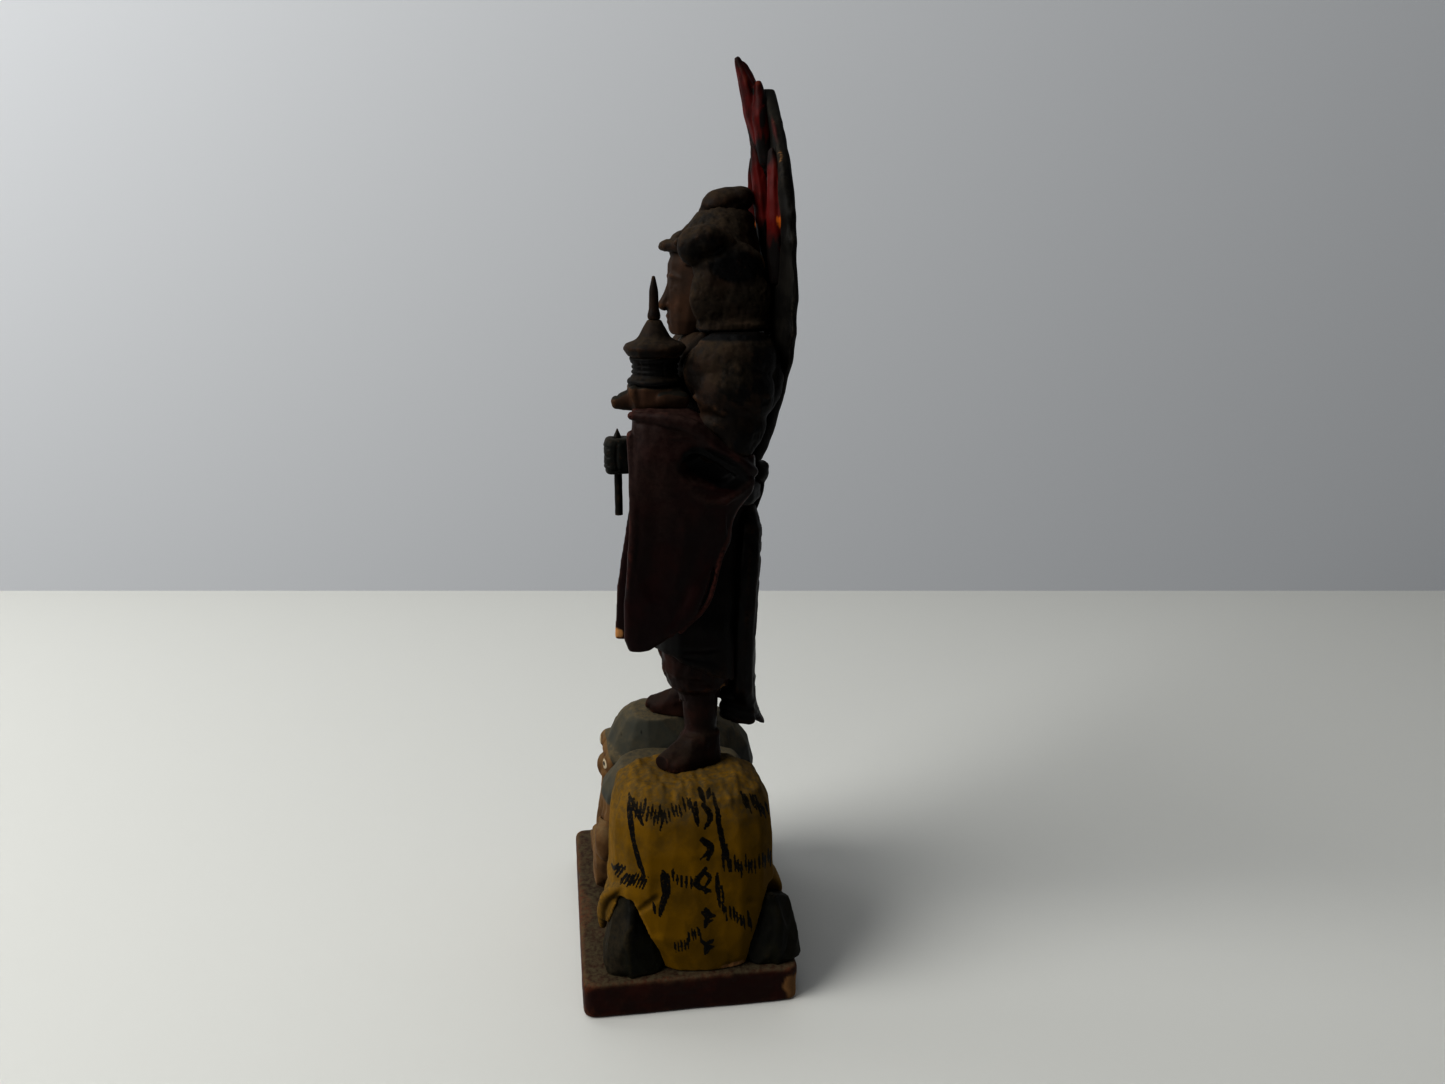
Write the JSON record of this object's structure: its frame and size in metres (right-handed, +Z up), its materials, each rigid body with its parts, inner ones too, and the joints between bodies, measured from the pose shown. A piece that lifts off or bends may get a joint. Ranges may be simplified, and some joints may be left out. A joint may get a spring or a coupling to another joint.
{
  "type": "carved guardian figure",
  "caption": "Carved and painted wooden guardian figure holding a small pagoda and a rod, with a flame halo, standing on a crouching demon and a plinth.",
  "frame": {"origin": "middle of the plinth's flat underside", "axes": "+Z up, -Y the way the figure faces, +X the figure's own left"},
  "size_m": [0.088, 0.0622, 0.2536],
  "materials": {
    "plinth_paint": "dark red-brown lacquer, dusty on top",
    "rock_paint": "dark green-black paint, dusty",
    "tiger_skin_paint": "matt yellow ochre paint with black brush strokes",
    "demon_paint": "matt tan and grey paint, dusty",
    "boot_paint": "worn red-brown lacquer",
    "robe_paint": "aged black lacquer",
    "armour_paint": "brown-black lacquer under dust",
    "face_paint": "dark brown lacquer under dust",
    "sleeve_paint": "dark maroon lacquer, slightly glossy",
    "rod_paint": "black lacquer",
    "halo_paint": "grey-black lacquer, dusty",
    "flame_paint": "aged vermilion lacquer",
    "bare_wood": "unpainted wood"
  },
  "bodies": {
    "figure": {"plinth": "plinth_paint", "dowel_rump": "bare_wood", "dowel_head": "bare_wood", "rock_front": "rock_paint", "rock_rear": "rock_paint", "demon_rump": "tiger_skin_paint", "demon_head": "demon_paint", "demon_torso": "demon_paint", "demon_front_arm": "demon_paint", "demon_rear_arm": "demon_paint", "left_boot": "boot_paint", "right_boot": "boot_paint", "left_trouser": "boot_paint", "right_trouser": "boot_paint", "skirt": "robe_paint", "robe_tail": "robe_paint", "sash": "robe_paint", "sash_knot": "robe_paint", "torso": "armour_paint", "head": "face_paint", "helmet": "armour_paint", "helmet_crest": "armour_paint", "neck_guard": "armour_paint", "left_arm": "armour_paint", "right_arm": "armour_paint", "left_arm_dowel": "bare_wood", "right_arm_dowel": "bare_wood", "left_sleeve": "sleeve_paint", "right_sleeve": "sleeve_paint", "left_hand": "face_paint", "right_fist": "face_paint"},
    "halo": {"halo_board": "halo_paint", "flame_crown": "flame_paint", "flame_middle": "flame_paint", "flame_left": "flame_paint", "flame_right": "flame_paint", "halo_peg": "bare_wood"},
    "rod": {"rod": "rod_paint"},
    "pagoda": {"pagoda_body": "armour_paint", "pagoda_roof": "armour_paint", "pagoda_spire": "armour_paint", "pagoda_peg": "bare_wood"}
  },
  "joints": [
    {"name": "halo_pull", "type": "slide", "parent": "figure", "child": "halo", "axis": [0, 1, 0], "range_m": [0, 0.012]},
    {"name": "rod_lift", "type": "slide", "parent": "figure", "child": "rod", "axis": [0, 0, 1], "range_m": [0, 0.024]},
    {"name": "pagoda_lift", "type": "slide", "parent": "figure", "child": "pagoda", "axis": [0, 0, 1], "range_m": [0, 0.006]}
  ]
}
